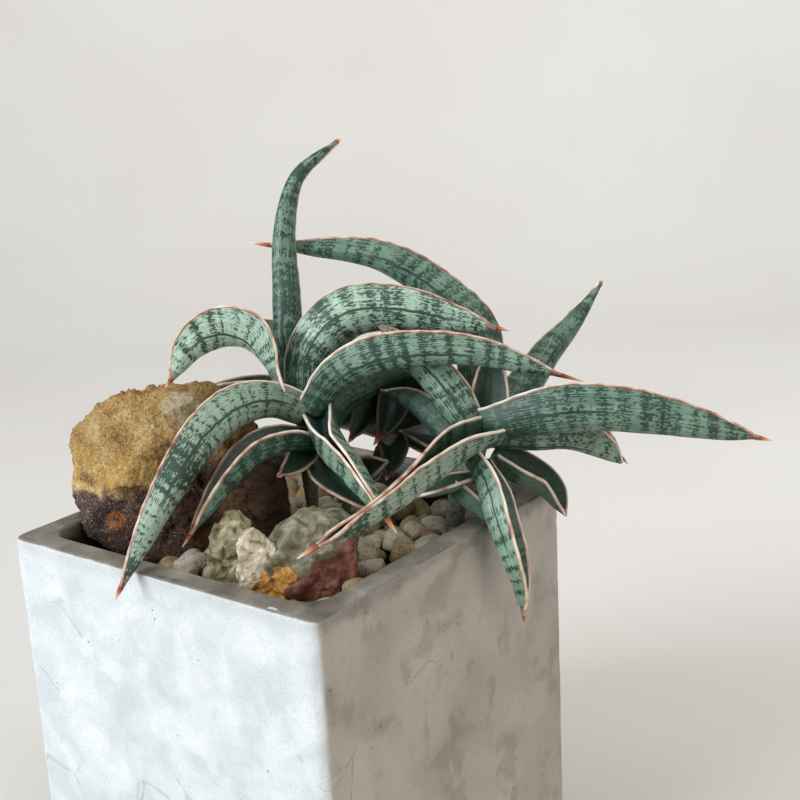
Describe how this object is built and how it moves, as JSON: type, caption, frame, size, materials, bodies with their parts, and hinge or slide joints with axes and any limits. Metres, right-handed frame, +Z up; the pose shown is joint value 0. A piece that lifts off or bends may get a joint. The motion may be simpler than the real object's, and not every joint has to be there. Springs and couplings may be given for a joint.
{
  "type": "potted bella sansevieria",
  "caption": "Square concrete pot holding low rosettes of folded, arching, cross-banded sansevieria leaves, dressed with pebbles, a large rock and small stones.",
  "frame": {"origin": "centre of the pot's flat underside, on the surface it stands on", "axes": "+Z up; the pot's four sides face +X, -X, +Y and -Y; the long right leaf reaches towards +X and +Y"},
  "size_m": [0.1875, 0.1609, 0.2286],
  "materials": {
    "concrete": "matte",
    "soil": "matte",
    "pebbles": "matte",
    "ironstone": "matte",
    "grey_stone": "matte",
    "stem": "matte",
    "leaf": "satin"
  },
  "bodies": {
    "root": {"pot": "concrete", "potting_soil": "soil", "gravel": "pebbles", "rock_large": "ironstone", "stone_front_left": "grey_stone", "stone_front_middle": "grey_stone", "stone_front_right": "grey_stone", "stem_left": "stem", "stem_middle": "stem", "stem_right": "stem", "leaf_upright": "leaf", "leaf_arch_front": "leaf", "leaf_front_left": "leaf", "leaf_arch_left": "leaf", "leaf_arch_top": "leaf", "leaf_drooping_left": "leaf", "leaf_small_left": "leaf", "leaf_folded_front": "leaf", "leaf_bract": "leaf", "leaf_low_dark": "leaf", "leaf_over_stones": "leaf", "leaf_long_right": "leaf", "leaf_over_rim": "leaf", "leaf_right_corner": "leaf", "leaf_under_right": "leaf", "leaf_under_rim": "leaf", "leaf_torn": "leaf", "leaf_back_arch": "leaf", "leaf_back_right": "leaf", "leaf_inner_broad": "leaf", "leaf_inner_upright": "leaf", "leaf_inner_dark": "leaf", "leaf_middle_small": "leaf", "leaf_middle_left": "leaf", "leaf_middle_low": "leaf", "leaf_middle_right": "leaf", "leaf_middle_rear": "leaf", "leaf_middle_back": "leaf", "leaf_middle_front": "leaf", "leaf_rear_left": "leaf", "leaf_rear_middle": "leaf", "leaf_rear_right": "leaf"}
  },
  "joints": []
}
